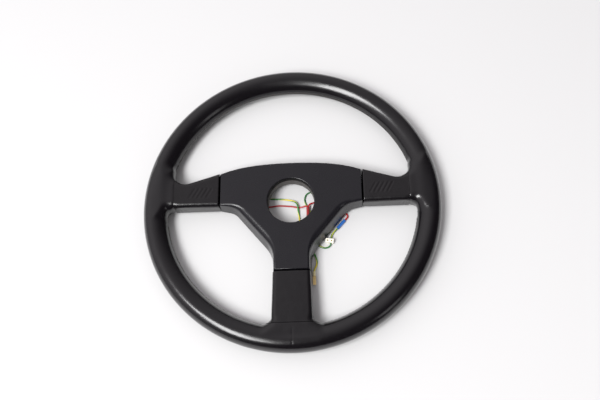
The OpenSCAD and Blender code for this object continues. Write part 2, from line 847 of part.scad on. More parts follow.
module spade_sleeve() {
    color("khaki")
        between(spade_from, spade_to)
        rotate([0, 90, 0])
        difference() {
            cylinder(r = barrel_r + spade_sleeve_wall, h = spade_barrel_l - 0.3, $fn = small_round);
            translate([0, 0, -1])
                cylinder(r = barrel_r + sleeve_clear, h = spade_barrel_l + 2, $fn = small_round);
        }
}

rim_ring();
rim_foam();
rim_leather_top();
rim_leather_left();
rim_leather_right();
hub_plate();
wing_left();
wing_right();
wing_bottom();
button_ring();
ring_screws();
centre_pad();
pad_plate();
pad_screws();
guide_screws();
spring_left();
spring_right();
spring_bottom();
insulator_left();
insulator_right();
contact_left();
contact_right();
pad_contact_left();
pad_contact_right();
earth_tag_left();
earth_tag_right();
earth_screws();
lead_left_green();
lead_left_red();
lead_right_red();
lead_right_green();
lead_feed_red();
lead_jumper_green();
splice_sleeve();
connector_housing();
connector_contacts();
blue_sleeve();
spade_terminal();
spade_sleeve();
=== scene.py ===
import json
import math

import bmesh
import bpy
import numpy as np
from mathutils import Matrix, Vector, noise

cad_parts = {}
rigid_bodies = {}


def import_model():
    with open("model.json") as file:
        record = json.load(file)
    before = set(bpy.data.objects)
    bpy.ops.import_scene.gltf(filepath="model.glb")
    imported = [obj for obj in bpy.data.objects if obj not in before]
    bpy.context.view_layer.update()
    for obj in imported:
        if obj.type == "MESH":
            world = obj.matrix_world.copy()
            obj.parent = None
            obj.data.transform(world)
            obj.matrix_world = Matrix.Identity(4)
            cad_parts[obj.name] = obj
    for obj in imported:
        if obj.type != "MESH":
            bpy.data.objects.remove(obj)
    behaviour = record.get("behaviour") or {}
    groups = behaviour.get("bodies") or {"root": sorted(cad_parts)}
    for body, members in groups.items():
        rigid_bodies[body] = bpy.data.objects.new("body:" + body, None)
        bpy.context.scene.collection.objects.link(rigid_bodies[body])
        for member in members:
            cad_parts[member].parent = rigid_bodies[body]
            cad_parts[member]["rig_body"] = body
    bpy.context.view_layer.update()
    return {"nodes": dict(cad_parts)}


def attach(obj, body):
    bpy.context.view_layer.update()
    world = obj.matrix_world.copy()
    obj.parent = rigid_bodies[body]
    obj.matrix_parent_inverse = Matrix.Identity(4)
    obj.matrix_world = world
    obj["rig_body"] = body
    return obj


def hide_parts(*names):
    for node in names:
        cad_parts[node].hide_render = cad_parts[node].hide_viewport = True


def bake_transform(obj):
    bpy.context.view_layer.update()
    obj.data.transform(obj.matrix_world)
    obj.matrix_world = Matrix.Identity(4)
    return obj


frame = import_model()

scene = bpy.context.scene
cadNodes = frame["nodes"]
mm = 0.001


# camera: the photograph's angle, from above and a little to the right
cameraLook = {"place": (0.057454, -0.330697, 0.867780), "turn": (21.3446, 3.4428, -0.8557), "lens": 43.04}
lookCamera = bpy.data.cameras.new("photoCamera")
lookCamera.lens = cameraLook["lens"]
lookCamera.sensor_width = 36
lookCamera.sensor_fit = "HORIZONTAL"
lookCamera.clip_start = 0.01
cameraHolder = bpy.data.objects.new("photoCamera", lookCamera)
cameraHolder.location = cameraLook["place"]
cameraHolder.rotation_euler = [math.radians(a) for a in cameraLook["turn"]]
scene.collection.objects.link(cameraHolder)
scene.camera = cameraHolder
print("stage: camera")


def pieceFrom(name, bm, material, smooth=True):
    mesh = bpy.data.meshes.new(name)
    bm.normal_update()
    bm.to_mesh(mesh)
    bm.free()
    mesh.polygons.foreach_set("use_smooth", [smooth] * len(mesh.polygons))
    mesh.materials.append(material)
    piece = bpy.data.objects.new(name, mesh)
    scene.collection.objects.link(piece)
    return piece


# helpers for node trees and materials
def group(name, inputs, outputs):
    tree = bpy.data.node_groups.new(name, "ShaderNodeTree")
    for label, kind, value in inputs:
        socket = tree.interface.new_socket(name=label, in_out="INPUT", socket_type=kind)
        if value is not None:
            socket.default_value = value
    for label, kind in outputs:
        tree.interface.new_socket(name=label, in_out="OUTPUT", socket_type=kind)
    start = tree.nodes.new("NodeGroupInput")
    end = tree.nodes.new("NodeGroupOutput")
    return tree, start, end


def node(tree, kind, **values):
    made = tree.nodes.new(kind)
    for key, value in values.items():
        if key in made.inputs.keys():
            made.inputs[key].default_value = value
        else:
            setattr(made, key, value)
    return made


def wire(tree, a, b):
    tree.links.new(a, b)


def ramp(tree, value, stops):
    made = tree.nodes.new("ShaderNodeValToRGB")
    while len(made.color_ramp.elements) < len(stops):
        made.color_ramp.elements.new(0.5)
    for element, (spot, grey) in zip(made.color_ramp.elements, stops):
        element.position = spot
        element.color = (grey, grey, grey, 1)
    wire(tree, value, made.inputs["Fac"])
    return made


# pebbled hide: rounded cells with fine pores, as a height and a mask of the creases between the cells
def makeHideGrain():
    tree, start, end = group(
        "hideGrain",
        [
            ("Vector", "NodeSocketVector", None),
            ("Cell", "NodeSocketFloat", 900.0),
            ("Pores", "NodeSocketFloat", 0.35),
        ],
        [("Height", "NodeSocketFloat"), ("Crease", "NodeSocketFloat")],
    )
    warp = node(tree, "ShaderNodeTexNoise", Scale=260.0, Detail=2.0)
    shift = node(tree, "ShaderNodeVectorMath", operation="SCALE", Scale=0.0009)
    moved = node(tree, "ShaderNodeVectorMath", operation="ADD")
    cells = node(tree, "ShaderNodeTexVoronoi", feature="SMOOTH_F1", Smoothness=0.35)
    pores = node(tree, "ShaderNodeTexNoise", Detail=3.0, Roughness=0.6)
    porePitch = node(tree, "ShaderNodeMath", operation="MULTIPLY")
    porePitch.inputs[1].default_value = 2.3
    blend = node(tree, "ShaderNodeMix", data_type="FLOAT")
    wire(tree, start.outputs["Vector"], warp.inputs["Vector"])
    wire(tree, warp.outputs["Color"], shift.inputs[0])
    wire(tree, start.outputs["Vector"], moved.inputs[0])
    wire(tree, shift.outputs[0], moved.inputs[1])
    wire(tree, moved.outputs[0], cells.inputs["Vector"])
    wire(tree, start.outputs["Cell"], cells.inputs["Scale"])
    wire(tree, start.outputs["Cell"], porePitch.inputs[0])
    wire(tree, porePitch.outputs[0], pores.inputs["Scale"])
    wire(tree, start.outputs["Vector"], pores.inputs["Vector"])
    rounded = ramp(tree, cells.outputs["Distance"], [(0.0, 1), (0.45, 0.75), (0.85, 0)])
    wire(tree, start.outputs["Pores"], blend.inputs["Factor"])
    wire(tree, rounded.outputs["Color"], blend.inputs["A"])
    wire(tree, pores.outputs["Fac"], blend.inputs["B"])
    wire(tree, blend.outputs["Result"], end.inputs["Height"])
    crease = node(tree, "ShaderNodeMath", operation="SUBTRACT", use_clamp=True)
    crease.inputs[0].default_value = 1.0
    wire(tree, rounded.outputs["Color"], crease.inputs[1])
    wire(tree, crease.outputs[0], end.inputs["Crease"])
    return tree


# slow patches from hands and cloths, as a mask from 0 to 1
def makeHandling():
    tree, start, end = group(
        "handling",
        [
            ("Vector", "NodeSocketVector", None),
            ("Patch", "NodeSocketFloat", 22.0),
            ("Sharp", "NodeSocketFloat", 0.5),
        ],
        [("Mask", "NodeSocketFloat"), ("Smear", "NodeSocketFloat")],
    )
    patches = node(tree, "ShaderNodeTexNoise", Detail=4.0, Roughness=0.55)
    smears = node(tree, "ShaderNodeTexNoise", Scale=70.0, Detail=5.0, Roughness=0.65, Distortion=0.8)
    spread = node(tree, "ShaderNodeMapRange")
    low = node(tree, "ShaderNodeMath", operation="MULTIPLY")
    low.inputs[1].default_value = 0.7
    wire(tree, start.outputs["Vector"], patches.inputs["Vector"])
    wire(tree, start.outputs["Vector"], smears.inputs["Vector"])
    wire(tree, start.outputs["Patch"], patches.inputs["Scale"])
    wire(tree, start.outputs["Sharp"], low.inputs[0])
    wire(tree, patches.outputs["Fac"], spread.inputs["Value"])
    wire(tree, low.outputs[0], spread.inputs["From Min"])
    spread.inputs["From Max"].default_value = 0.66
    wire(tree, spread.outputs["Result"], end.inputs["Mask"])
    wire(tree, smears.outputs["Fac"], end.inputs["Smear"])
    return tree


# rubbed edges from the shape's own corners, and fine scratches, both as masks
def makeRubbing():
    tree, start, end = group(
        "rubbing",
        [("Vector", "NodeSocketVector", None), ("Amount", "NodeSocketFloat", 0.5)],
        [("Edge", "NodeSocketFloat"), ("Scratch", "NodeSocketFloat")],
    )
    shape = node(tree, "ShaderNodeNewGeometry")
    breakUp = node(tree, "ShaderNodeTexNoise", Scale=420.0, Detail=4.0)
    sharp = node(tree, "ShaderNodeMapRange")
    sharp.inputs["From Min"].default_value = 0.52
    sharp.inputs["From Max"].default_value = 0.62
    worn = node(tree, "ShaderNodeMath", operation="MULTIPLY")
    level = node(tree, "ShaderNodeMath", operation="MULTIPLY", use_clamp=True)
    stretch = node(tree, "ShaderNodeMapping", Scale=(1.0, 0.06, 1.0), Rotation=(0, 0, 0.6))
    lines = node(tree, "ShaderNodeTexNoise", Scale=900.0, Detail=2.0)
    wire(tree, shape.outputs["Pointiness"], sharp.inputs["Value"])
    wire(tree, start.outputs["Vector"], breakUp.inputs["Vector"])
    wire(tree, sharp.outputs["Result"], worn.inputs[0])
    wire(tree, breakUp.outputs["Fac"], worn.inputs[1])
    wire(tree, worn.outputs[0], level.inputs[0])
    wire(tree, start.outputs["Amount"], level.inputs[1])
    wire(tree, level.outputs[0], end.inputs["Edge"])
    wire(tree, start.outputs["Vector"], stretch.inputs["Vector"])
    wire(tree, stretch.outputs["Vector"], lines.inputs["Vector"])
    cut = ramp(tree, lines.outputs["Fac"], [(0.6, 0), (0.72, 1)])
    wire(tree, cut.outputs["Color"], end.inputs["Scratch"])
    return tree


hideGrain = makeHideGrain()
handling = makeHandling()
rubbing = makeRubbing()


def place(tree, shared, **values):
    made = tree.nodes.new("ShaderNodeGroup")
    made.node_tree = shared
    for key, value in values.items():
        made.inputs[key].default_value = value
    return made


def freshMaterial(name, **values):
    material = bpy.data.materials.new(name)
    material.use_nodes = True
    tree = material.node_tree
    shader = tree.nodes["Principled BSDF"]
    for key, value in values.items():
        shader.inputs[key].default_value = value
    where = tree.nodes.new("ShaderNodeTexCoord").outputs["Object"]
    return material, tree, shader, where


def span(tree, value, low, high):
    made = node(tree, "ShaderNodeMapRange")
    made.inputs["To Min"].default_value = low
    made.inputs["To Max"].default_value = high
    wire(tree, value, made.inputs["Value"])
    return made.outputs["Result"]


def mixColours(tree, mask, a, b):
    made = node(tree, "ShaderNodeMix", data_type="RGBA")
    for socket, value in ((made.inputs[6], a), (made.inputs[7], b)):
        if isinstance(value, tuple):
            socket.default_value = (*value, 1)
        else:
            wire(tree, value, socket)
    wire(tree, mask, made.inputs["Factor"])
    return made.outputs[2]


def bump(tree, shader, heights):
    last = None
    for height, strength, distance in heights:
        made = node(tree, "ShaderNodeBump", Strength=strength, Distance=distance)
        wire(tree, height, made.inputs["Height"])
        if last:
            wire(tree, last.outputs["Normal"], made.inputs["Normal"])
        last = made
    wire(tree, last.outputs["Normal"], shader.inputs["Normal"])


def leather(name, look):
    material, tree, shader, where = freshMaterial(name)
    shader.inputs["Specular IOR Level"].default_value = look["shine"]
    grain = place(tree, hideGrain, Cell=look["cell"], Pores=look["pores"])
    hands = place(tree, handling, Patch=look["patch"])
    wire(tree, where, grain.inputs["Vector"])
    wire(tree, where, hands.inputs["Vector"])
    worn = mixColours(tree, hands.outputs["Mask"], look["colour"], look["wornColour"])
    # the creases between the grain's cells are painted darker: painted shade
    creaseShaded = mixColours(tree, grain.outputs["Crease"], worn, look["creaseShadeColour"])
    wire(tree, creaseShaded, shader.inputs["Base Color"])
    rough = node(tree, "ShaderNodeMath", operation="ADD")
    wire(tree, span(tree, hands.outputs["Mask"], look["rough"][0], look["rough"][1]), rough.inputs[0])
    wire(tree, span(tree, hands.outputs["Smear"], -0.06, 0.06), rough.inputs[1])
    wire(tree, rough.outputs[0], shader.inputs["Roughness"])
    smear = (hands.outputs["Smear"], 0.1, 0.0006)
    bump(tree, shader, [smear, (grain.outputs["Height"], look["relief"], 0.00012)])
    return material


rimLook = {
    "colour": (0.0038, 0.003, 0.0041), "wornColour": (0.0052, 0.0042, 0.0055),
    "creaseShadeColour": (0.0028, 0.0022, 0.003), "cell": 1500.0, "pores": 0.4, "patch": 14.0,
    "rough": (0.24, 0.19), "relief": 0.1, "shine": 0.45,
}
rimLeather = leather("rimLeather", rimLook)
wingHide = {
    "colour": (0.005, 0.0042, 0.0052), "wornColour": (0.0066, 0.0057, 0.0068),
    "creaseShadeColour": (0.004, 0.0033, 0.0041), "cell": 1250.0, "pores": 0.35, "patch": 30.0,
    "rough": (0.27, 0.22), "relief": 0.12, "shine": 0.35,
}
wingLeather = leather("wingLeather", wingHide)
padLook = {
    "colour": (0.0068, 0.0062, 0.0084), "wornColour": (0.0084, 0.0078, 0.01),
    "creaseShadeColour": (0.0055, 0.005, 0.0068), "cell": 1900.0, "pores": 0.25, "patch": 18.0,
    "rough": (0.29, 0.26), "relief": 0.07, "shine": 0.34,
}
padPlastic = leather("padPlastic", padLook)


def plainPlastic(name, colour, rough, mottle=0.12, relief=0.15, **values):
    material, tree, shader, where = freshMaterial(name, **values)
    hands = place(tree, handling, Patch=60.0)
    wire(tree, where, hands.inputs["Vector"])
    dark = tuple(c * (1 - mottle) for c in colour)
    wire(tree, mixColours(tree, hands.outputs["Mask"], dark, colour), shader.inputs["Base Color"])
    wire(tree, span(tree, hands.outputs["Smear"], rough - 0.07, rough + 0.07), shader.inputs["Roughness"])
    bump(tree, shader, [(hands.outputs["Smear"], relief, 0.0003)])
    return material


def metal(name, colour, wornColour, rough, metallic=1.0, edge=0.6, brushed=0.3):
    material, tree, shader, where = freshMaterial(name, Metallic=metallic)
    rubbed = place(tree, rubbing, Amount=edge)
    hands = place(tree, handling, Patch=80.0)
    wire(tree, where, rubbed.inputs["Vector"])
    wire(tree, where, hands.inputs["Vector"])
    stained = mixColours(tree, hands.outputs["Mask"], tuple(c * 0.8 for c in colour), colour)
    wire(tree, mixColours(tree, rubbed.outputs["Edge"], stained, wornColour), shader.inputs["Base Color"])
    wire(tree, span(tree, hands.outputs["Smear"], rough - 0.1, rough + 0.1), shader.inputs["Roughness"])
    bump(tree, shader, [(rubbed.outputs["Scratch"], brushed, 0.00008)])
    return material


platePaint = metal("platePaint", (0.012, 0.012, 0.013), (0.09, 0.09, 0.09), 0.42, metallic=0.0, edge=0.8)
zincSteel = metal("zincSteel", (0.56, 0.55, 0.5), (0.75, 0.75, 0.74), 0.33)
zincPlate = metal("zincPlate", (0.42, 0.42, 0.4), (0.62, 0.62, 0.62), 0.42)
springSteel = metal("springSteel", (0.5, 0.5, 0.51), (0.7, 0.7, 0.7), 0.28)
brass = metal("brass", (0.72, 0.5, 0.2), (0.9, 0.75, 0.42), 0.3)
rimSteel = metal("rimSteel", (0.3, 0.3, 0.31), (0.5, 0.5, 0.5), 0.4)
rimFoam = plainPlastic("rimFoam", (0.03, 0.03, 0.03), 0.8, relief=0.6)
ringPlastic = plainPlastic("ringPlastic", (0.05, 0.045, 0.042), 0.6)
laminate = plainPlastic("laminate", (0.1, 0.042, 0.02), 0.45)
ivoryPlastic = plainPlastic("ivoryPlastic", (0.83, 0.8, 0.7), 0.35, mottle=0.06)
bluePlastic = plainPlastic("bluePlastic", (0.012, 0.1, 0.36), 0.4)
spliceSkin = plainPlastic("spliceSkin", (0.24, 0.012, 0.012), 0.38)
clearSleeve = plainPlastic("clearSleeve", (0.75, 0.66, 0.38), 0.25, mottle=0.1)
redSkin = plainPlastic("redSkin", (0.36, 0.01, 0.012), 0.36)
threadLook = plainPlastic("threadLook", (0.05, 0.047, 0.045), 0.6, relief=0.5)


# wire insulation in two colours: the stripe runs along the lead and turns round it slowly
def stripedSkin(name, ground, stripe, width, turns):
    material, tree, shader, where = freshMaterial(name, Roughness=0.34)
    uv = node(tree, "ShaderNodeUVMap", uv_map="leadMap")
    split = node(tree, "ShaderNodeSeparateXYZ")
    twist = node(tree, "ShaderNodeMath", operation="MULTIPLY_ADD")
    twist.inputs[1].default_value = turns
    around = node(tree, "ShaderNodeMath", operation="FRACT")
    centred = node(tree, "ShaderNodeMath", operation="SUBTRACT")
    centred.inputs[1].default_value = 0.5
    size = node(tree, "ShaderNodeMath", operation="ABSOLUTE")
    wire(tree, uv.outputs["UV"], split.inputs[0])
    wire(tree, split.outputs["Y"], twist.inputs[0])
    wire(tree, split.outputs["X"], twist.inputs[2])
    wire(tree, twist.outputs[0], around.inputs[0])
    wire(tree, around.outputs[0], centred.inputs[0])
    wire(tree, centred.outputs[0], size.inputs[0])
    mask = ramp(tree, size.outputs[0], [(width / 2 - 0.02, 1), (width / 2 + 0.02, 0)])
    hands = place(tree, handling, Patch=90.0)
    wire(tree, where, hands.inputs["Vector"])
    soiled = mixColours(tree, hands.outputs["Mask"], tuple(c * 0.75 for c in ground), ground)
    wire(tree, mixColours(tree, mask.outputs["Color"], soiled, stripe), shader.inputs["Base Color"])
    bump(tree, shader, [(hands.outputs["Smear"], 0.12, 0.0003)])
    return material


# the pad plastic made darker and duller for the lip wall inside the button hole: painted shade
padShadeWall = plainPlastic("padShadeWall", (0.003, 0.003, 0.003), 0.75, relief=0.3, **{"Specular IOR Level": 0.12})
greenYellow = stripedSkin("greenYellow", (0.03, 0.2, 0.03), (0.62, 0.5, 0.03), 0.42, 3.0)
greenSkin = stripedSkin("greenSkin", (0.012, 0.13, 0.025), (0.4, 0.42, 0.04), 0.22, 2.0)
print("stage: materials")


# leads: each route is the one that the solids follow, in millimetres
leadSize = {"width": 2.0, "sides": 14, "steps": 6, "clear": 0.02, "mapPerMetre": 10}
routes = {
    "leftGreen": [
        (-48, 11, 3.2), (-43, 11.5, 2.6), (-37, 12, 1.4), (-30, 12, 1.1), (-22, 11.5, 1.1), (-14, 11, 1.1),
        (-5, 9.5, 1.6), (1.5, 7.5, 2.6), (6, 4, 3.4), (7.5, -1, 3.4), (8, -6, 2.6), (9, -13, 1.4),
        (9.5, -20, 1.1), (11, -30, 1.1), (14.5, -41, 1.1), (19, -50, 1.1), (24, -58.5, 1.1),
        (28, -66, 1.1), (30.5, -73, 1.1), (30, -79, 1.2), (27.5, -84.5, 1.6), (26.5, -88, 1.8)],
    "leftRed": [
        (-71.5, 11, 2.4), (-67.5, 10.5, 1.8), (-63, 7.5, 1.1), (-58, 4, 1.1), (-51, 1.5, 1.1),
        (-43, 0.5, 1.1), (-35, 0.5, 1.1), (-27, 1, 1.1), (-18, 2, 1.1), (-9, 1.5, 1.1), (0, 0.5, 1.1),
        (7, -1, 1.1), (12, -1, 1.5), (16, -0.5, 2.7), (19, -0.5, 3.9), (19.7, -2.5, 4.3)],
    "rightRed": [
        (71.5, 11, 2.4), (67.5, 10.5, 1.8), (63, 8, 1.1), (58, 5, 1.1), (51.5, 3.5, 1.1), (45, 3.5, 1.1),
        (38, 4.5, 1.1), (32, 5, 1.2), (27, 4, 2.4), (24, 2.5, 3.6), (22, 0.5, 4.2), (21.7, -2.5, 4.3)],
    "rightGreen": [
        (48, 11, 3.2), (44, 12.5, 2.8), (39.5, 15.5, 2), (34.5, 18, 1.3), (29, 19.5, 1.1), (24, 19.2, 1.1),
        (19.5, 17, 1.1), (17, 12.5, 1.1), (16.8, 7.5, 1.1), (18.5, 2, 1.1), (22, -4, 1.1), (25.5, -11, 1.1),
        (27.5, -19, 1.1), (28, -28, 1.1), (28, -37, 1.1), (28.5, -45, 1.1), (31, -51, 1.1),
        (35.5, -55, 1.1), (40.5, -57, 1.1), (45.5, -56.2, 1.4), (48.3, -53.5, 2.3), (48.2, -50.5, 3)],
    "feedRed": [
        (20.6, -14, 4.3), (21, -17.5, 4.1), (23, -20.5, 3.7), (26.5, -22.5, 3.5), (31, -23, 3.2),
        (35.5, -21.5, 2.2), (40.5, -19, 1.2), (46, -16, 1.1), (52, -13, 1.1), (58, -10.5, 1.1),
        (64, -9.5, 1.1), (69, -11.5, 1.2), (71.3, -15.5, 1.6), (69.5, -19, 2), (67, -21.2, 2.1)],
    "jumperGreen": [
        (58, -31.5, 2.1), (54.5, -35, 2.1), (51.5, -38.5, 2.2), (49.7, -42, 2.7), (49, -46.5, 3)],
}


# a smooth line through the route's points, kept just above the table, in metres
def softened(route, steps):
    last = len(route) - 1
    line = []
    for i in range(last):
        a, b, c, d = (Vector(route[min(last, max(0, k))]) for k in (i - 1, i, i + 1, i + 2))
        for s in range(steps):
            t = s / steps
            straight = 2 * b + (c - a) * t
            bend = (2 * a - 5 * b + 4 * c - d) * t * t
            twist = (3 * b - a - 3 * c + d) * t ** 3
            line.append(0.5 * (straight + bend + twist))
    line.append(Vector(route[last]))
    for p in line:
        p.z = max(p.z, leadSize["width"] / 2 + leadSize["clear"])
    return [p * mm for p in line]


def makeLead(name, material, solid):
    line = softened(routes[name], leadSize["steps"])
    sides = leadSize["sides"]
    radius = leadSize["width"] / 2 * mm
    bm = bmesh.new()
    leadMap = bm.loops.layers.uv.new("leadMap")
    way = (line[1] - line[0]).normalized()
    side = way.orthogonal().normalized()
    rings = []
    for i, p in enumerate(line):
        onward = (line[min(i + 1, len(line) - 1)] - line[max(i - 1, 0)]).normalized()
        side = (side - onward * side.dot(onward)).normalized()
        up = onward.cross(side)
        ring = []
        for k in range(sides):
            w = 2 * math.pi * k / sides
            ring.append(bm.verts.new(p + (side * math.cos(w) + up * math.sin(w)) * radius))
        rings.append(ring)
    run = 0.0
    for i in range(len(rings) - 1):
        here, there = rings[i], rings[i + 1]
        step = (line[i + 1] - line[i]).length
        for k in range(sides):
            after = (k + 1) % sides
            face = bm.faces.new((here[k], here[after], there[after], there[k]))
            spots = ((k, run), (k + 1, run), (k + 1, run + step), (k, run + step))
            for loop, (u, v) in zip(face.loops, spots):
                loop[leadMap].uv = (u / sides, v * leadSize["mapPerMetre"])
        run += step
    bm.faces.new(rings[0][::-1])
    bm.faces.new(rings[-1])
    bmesh.ops.recalc_face_normals(bm, faces=bm.faces)
    piece = pieceFrom(name + "Lead", bm, material)
    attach(piece, "wheel")
    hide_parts(solid)
    return piece, line


for leadName, leadSkin, leadSolid in (
    ("leftGreen", greenYellow, "lead_left_green"), ("leftRed", redSkin, "lead_left_red"),
    ("rightRed", redSkin, "lead_right_red"), ("rightGreen", greenSkin, "lead_right_green"),
    ("feedRed", redSkin, "lead_feed_red"), ("jumperGreen", greenSkin, "lead_jumper_green"),
):
    makeLead(leadName, leadSkin, leadSolid)

print("stage: leads")


# floor and light: a large soft window high on the left, a dim one low on the right, a grey ceiling beyond
# the wheel and a dark room to the right; the paper ends just outside the picture
stageLook = {
    "paper": 0.72, "paperSeen": 0.51, "paperHalf": (0.62, 0.52),  # paperSeen is the tone that the camera sees
    "window": {"shine": 24.0, "size": (1.1, 1.7), "way": (-0.403, -0.35, 0.846), "far": 3.2, "turn": 49.0},
    "glow": {"shine": 2.0, "size": (0.4, 0.8), "way": (0.686, -0.556, 0.469), "far": 2.0, "turn": 0.0},
    "room": 0.035, "ceiling": 1.22, "slant": (-0.8, 0.6, 0.0), "fade": (-0.46, 0.87),
    "height": [(0.1, 0.55), (0.45, 0.8), (0.75, 0.95)], "fill": 0.42, "tint": (1.0, 0.965, 0.99),
}


def makeFloor(look):
    bm = bmesh.new()
    bmesh.ops.create_grid(bm, x_segments=2, y_segments=2, size=1.0)
    bmesh.ops.scale(bm, vec=(*look["paperHalf"], 1), verts=bm.verts)
    material, tree, shader = freshMaterial("paperFloor", Roughness=0.8)[:3]
    shader.inputs["Specular IOR Level"].default_value = 0.15
    path = node(tree, "ShaderNodeLightPath")
    tone = mixColours(tree, path.outputs["Is Camera Ray"], (look["paper"],) * 3, (look["paperSeen"],) * 3)
    wire(tree, tone, shader.inputs["Base Color"])
    floor = pieceFrom("paperFloor", bm, material, smooth=False)


def softLamp(name, shine, size, way, far, turn):
    lamp = bpy.data.lights.new(name, "AREA")
    lamp.shape = "RECTANGLE"
    lamp.size, lamp.size_y = size
    lamp.energy = shine * math.pi * size[0] * size[1]
    holder = bpy.data.objects.new(name, lamp)
    holder.location = Vector(way).normalized() * far
    aim = (-holder.location).to_track_quat("-Z", "Y").to_matrix()
    holder.rotation_euler = (aim @ Matrix.Rotation(math.radians(turn), 3, "Z")).to_euler()
    scene.collection.objects.link(holder)


# brighter beyond the wheel and to the left, darker to the right and towards the horizon
def makeRoom(look):
    world = bpy.data.worlds.new("studioRoom")
    scene.world = world
    world.use_nodes = True
    room = world.node_tree
    way = node(room, "ShaderNodeTexCoord")
    split = node(room, "ShaderNodeSeparateXYZ")
    wire(room, way.outputs["Generated"], split.inputs[0])
    slant = node(room, "ShaderNodeVectorMath", operation="DOT_PRODUCT")
    wire(room, way.outputs["Generated"], slant.inputs[0])
    slant.inputs[1].default_value = look["slant"]
    fade = node(room, "ShaderNodeMapRange", interpolation_type="SMOOTHSTEP")
    fade.inputs["From Min"].default_value, fade.inputs["From Max"].default_value = look["fade"]
    wire(room, slant.outputs["Value"], fade.inputs["Value"])
    height = ramp(room, split.outputs["Z"], look["height"])
    upper = node(room, "ShaderNodeMath", operation="MULTIPLY")
    wire(room, fade.outputs["Result"], upper.inputs[0])
    wire(room, height.outputs["Color"], upper.inputs[1])
    shade = span(room, upper.outputs[0], look["room"], look["ceiling"])
    path = node(room, "ShaderNodeLightPath")  # dull surfaces get a little more light than shiny ones show
    lift = node(room, "ShaderNodeMath", operation="MULTIPLY_ADD")
    wire(room, path.outputs["Is Diffuse Ray"], lift.inputs[0])
    lift.inputs[1].default_value = look["fill"]
    wire(room, shade, lift.inputs[2])
    tint = node(room, "ShaderNodeVectorMath", operation="SCALE")
    tint.inputs[0].default_value = look["tint"]
    wire(room, lift.outputs[0], tint.inputs["Scale"])
    wire(room, tint.outputs[0], room.nodes["Background"].inputs["Color"])


makeFloor(stageLook)
softLamp("windowLamp", **stageLook["window"])
softLamp("glowLamp", **stageLook["glow"])
makeRoom(stageLook)
scene.view_settings.view_transform = "Standard"
print("stage: floor and light")


# the wheel's main measures, in millimetres
wheelSize = {
    "rimR": 175.0, "gripR": 15.0, "rimH": 15.0, "crest": 1.5,  # crest is how far out the grip's top leans
    "wingTop": 26.5, "wingRise": 2.6, "riseEnd": 1.1,  # the top goes on rising a little past the seam
    "wingBack": 4.0, "padEnd": 92.1,
    "roll": (3.0, 5.5, 10.0),  # of a wing's edge: at the back, at the front, and at the front beside the rim
    "rollFront": (8, 12), "rollRim": (50, 20),  # where the roll starts to grow, and over what length
    "seamX": 149.5, "lowSeamY": -155.5, "jointAngle": 5.0, "stitchPitch": 4.4,
    "blend": 9.0, "lowBlend": 5.0, "backBlend": 0.3, "blendGrow": (4, 12),  # how softly a wing meets the grip
}


def cornerArc(a, b, c, radius, steps):
    if radius <= 0:
        return [b]
    u, v = (a - b).normalized(), (c - b).normalized()
    half = u.angle(v) / 2
    middle = b + (u + v).normalized() * radius / math.sin(half)
    spoke = b + u * radius / math.tan(half) - middle
    turn = 1 if (b - a).cross(c - b) > 0 else -1
    first = math.atan2(spoke.y, spoke.x)
    arc = []
    for i in range(steps + 1):
        w = first + turn * (math.pi - 2 * half) * i / steps
        arc.append(middle + radius * Vector((math.cos(w), math.sin(w))))
    return arc


def roundedOutline(corners, steps=10):
    count = len(corners)
    points = [Vector(c[:2]) for c in corners]
    outline = []
    for i in range(count):
        outline += cornerArc(points[i - 1], points[i], points[(i + 1) % count], corners[i][2], steps)
    return outline


# outlines of the spokes' cushions, as corners with x, y and radius: the right one and the lower one
sideOutline = roundedOutline([
    (80, -4.9, 0), (157, -4.9, 8), (163, -13.5, 8), (172, -16.9, 0),
    (172, 57, 0), (152, 46.5, 0), (151, 21.9, 16), (80, 45.0, 0)])
lowHalf = [(23.2, -80, 0), (25.0, -151, 4), (33.5, -157.5, 3), (39.8, -171, 0)]
lowOutline = roundedOutline([(-x, y, radius) for x, y, radius in lowHalf] + lowHalf[::-1])


# distance to an outline, below zero inside it
def outlineDistance(x, y, outline):
    nearest = np.full(x.shape, 1e9)
    inside = np.zeros(x.shape, bool)
    for a, b in zip(outline, outline[1:] + outline[:1]):
        ex, ey = b.x - a.x, b.y - a.y
        wx, wy = x - a.x, y - a.y
        t = np.clip((wx * ex + wy * ey) / max(ex * ex + ey * ey, 1e-9), 0, 1)
        nearest = np.minimum(nearest, (wx - ex * t) ** 2 + (wy - ey * t) ** 2)
        if abs(ey) > 1e-9:
            inside ^= ((a.y > y) != (b.y > y)) & (x < ex * (y - a.y) / ey + a.x)
    return np.where(inside, -1, 1) * np.sqrt(nearest)


# the lower of two distances, rounded where they cross
def smoothLower(a, b, k):
    h = np.maximum(k - np.abs(a - b), 0) / k
    return np.minimum(a, b) - h * h * k / 4


def smoothUpper(a, b, k):
    return -smoothLower(-a, -b, k)


def eased(value, start, run):
    t = np.clip((value - start) / run, 0, 1)
    return t * t * (3 - 2 * t)


# a cushion: its edges roll little at the back and much at the front, and its top rises towards the rim
def cushionDistance(x, y, z, outline, out):
    size = wheelSize
    climb = np.clip((out - size["padEnd"]) / (size["seamX"] - size["padEnd"]), 0, size["riseEnd"])
    top = size["wingTop"] + size["wingRise"] * climb
    middle = (top + size["wingBack"]) / 2
    back, front, rim = size["roll"]
    roll = front + (rim - front) * eased(out - size["padEnd"], *size["rollRim"])
    roll = back + (roll - back) * eased(z, *size["rollFront"])
    flat = outlineDistance(x, y, outline) + roll
    tall = np.abs(z - middle) - (top - size["wingBack"]) / 2 + roll
    return np.hypot(np.maximum(flat, 0), np.maximum(tall, 0)) + np.minimum(np.maximum(flat, tall), 0) - roll


# the stretches where a spoke can shape the skin: from what distance outwards, and how wide
spokeReach = {"from": 75, "rimFrom": 120, "sideY": (-45, 75), "lowX": 60}


def besideSpokes(x, y, start):
    side = (np.abs(x) > start) & (y > spokeReach["sideY"][0]) & (y < spokeReach["sideY"][1])
    low = (np.abs(x) < spokeReach["lowX"]) & (y < -start)
    return side, low


